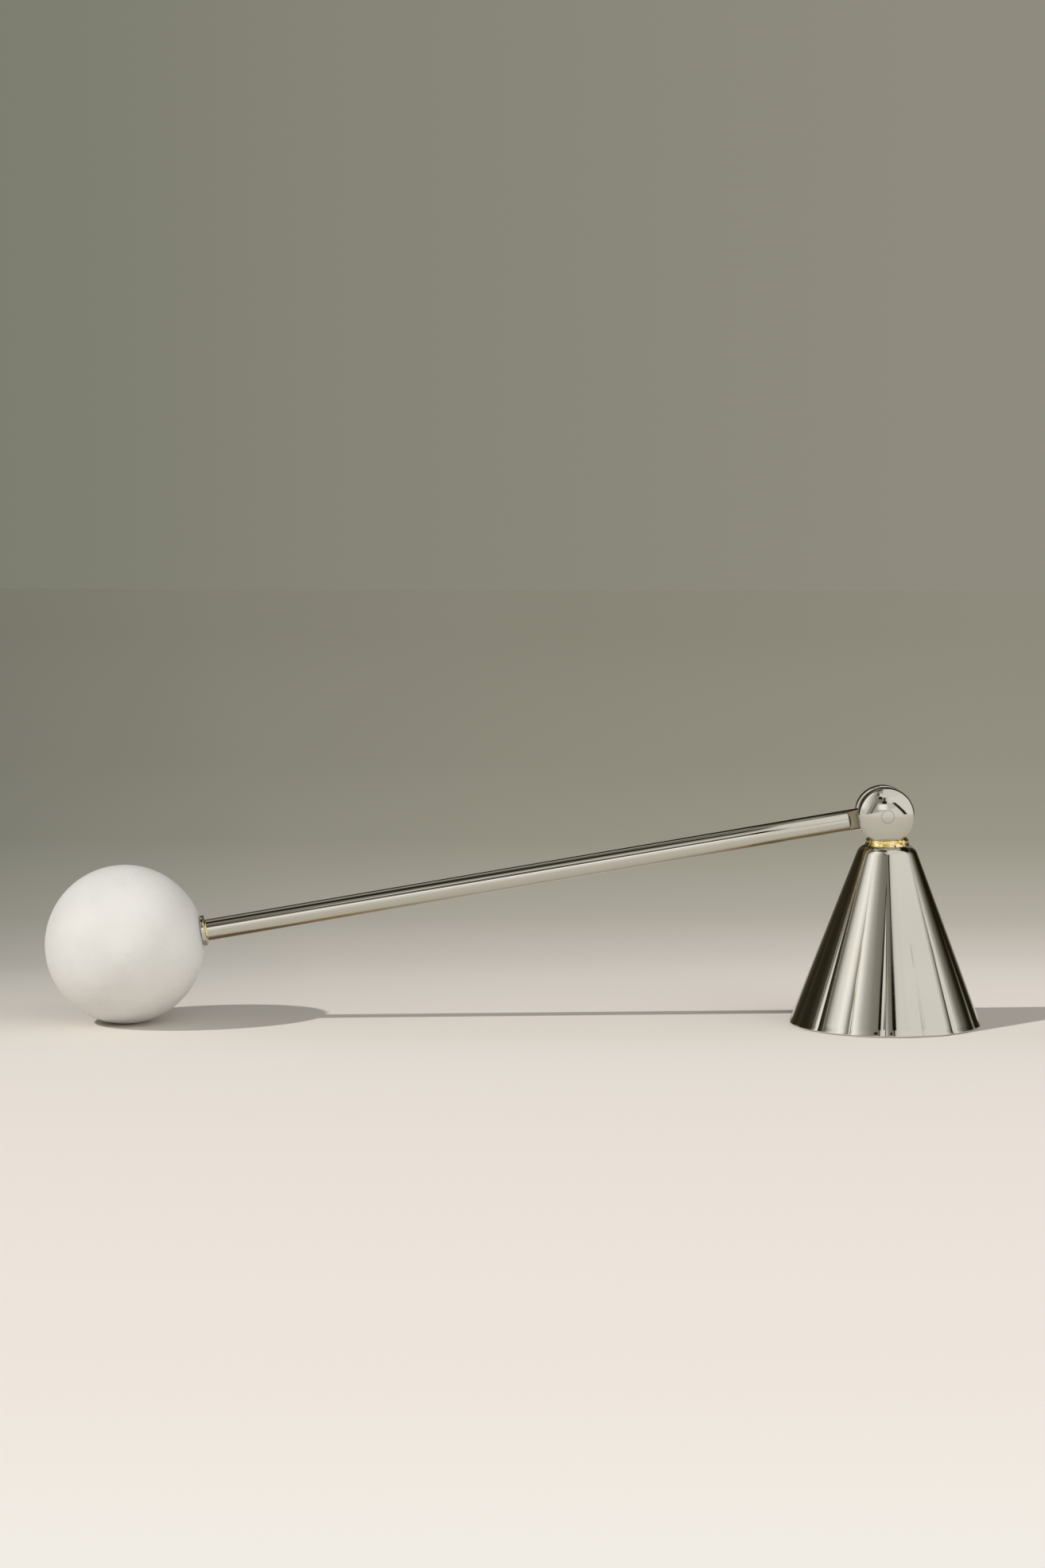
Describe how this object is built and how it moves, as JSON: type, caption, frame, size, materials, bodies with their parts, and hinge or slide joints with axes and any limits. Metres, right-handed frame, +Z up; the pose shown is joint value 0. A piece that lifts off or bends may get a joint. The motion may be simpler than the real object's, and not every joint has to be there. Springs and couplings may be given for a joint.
{
  "type": "candle snuffer",
  "caption": "Candle snuffer: a fluted metal bell hinged at a slotted domed knuckle to a long round rod handle that ends in a smooth white stone ball.",
  "frame": {"origin": "bottom centre of the whole snuffer at rest, on the surface that the bell's rim and the handle's ball stand on", "axes": "+Z up along the bell's axis, -X from the bell towards the handle's ball, Y along the hinge pin"},
  "size_m": [0.266, 0.0546, 0.0679],
  "materials": {
    "polished_nickel": "polished nickel plate",
    "braze_brass": "bright brass",
    "white_stone": "smooth honed",
    "zinc_steel": "zinc plated",
    "plain_brass": "turned"
  },
  "bodies": {
    "bell": {"bell": "polished_nickel", "neck_collar": "braze_brass", "hinge_knuckle": "polished_nickel", "hinge_pin": "polished_nickel", "top_washer": "zinc_steel", "lock_washer": "zinc_steel", "top_nut": "zinc_steel"},
    "handle": {"handle_rod": "polished_nickel", "ferrule": "polished_nickel", "ferrule_braze": "braze_brass", "ball_stud": "zinc_steel", "ball_insert": "plain_brass", "handle_ball": "white_stone"}
  },
  "joints": [
    {"name": "handle_swing", "type": "hinge", "parent": "bell", "child": "handle", "pos_m": [0.10476, 0, 0.05988], "axis": [0, 1, 0], "range_deg": [-5.7, 205.4]}
  ]
}
